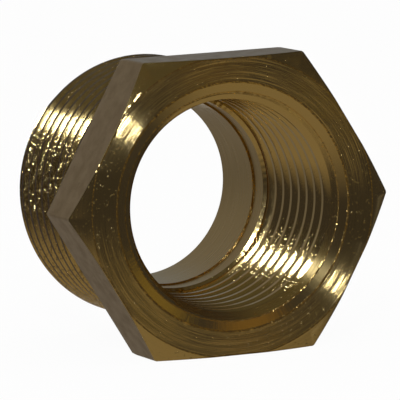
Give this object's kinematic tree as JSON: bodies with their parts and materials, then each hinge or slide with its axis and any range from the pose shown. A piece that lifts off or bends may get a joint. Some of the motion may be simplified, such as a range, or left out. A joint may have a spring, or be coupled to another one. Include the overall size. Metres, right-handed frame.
{
  "type": "hex bushing",
  "caption": "Turned brass reducing bushing for pipe: a hexagon head on a threaded stem, with a threaded bore for a smaller pipe behind a countersunk mouth.",
  "frame": {"origin": "on the bore's axis, in the plane of the shoulder where the hexagon meets the stem", "axes": "+Y along the bore's axis from the shoulder towards the stem's end, so the mouth looks along -Y; +Z square to the hexagon's upper flat; +X through a corner of the hexagon"},
  "size_m": [0.0334, 0.0255, 0.029],
  "materials": {
    "brass": "bright turned brass, unplated, with fine tool marks and a few small burrs"
  },
  "bodies": {
    "root": {"hex_bushing": "brass"}
  },
  "joints": []
}
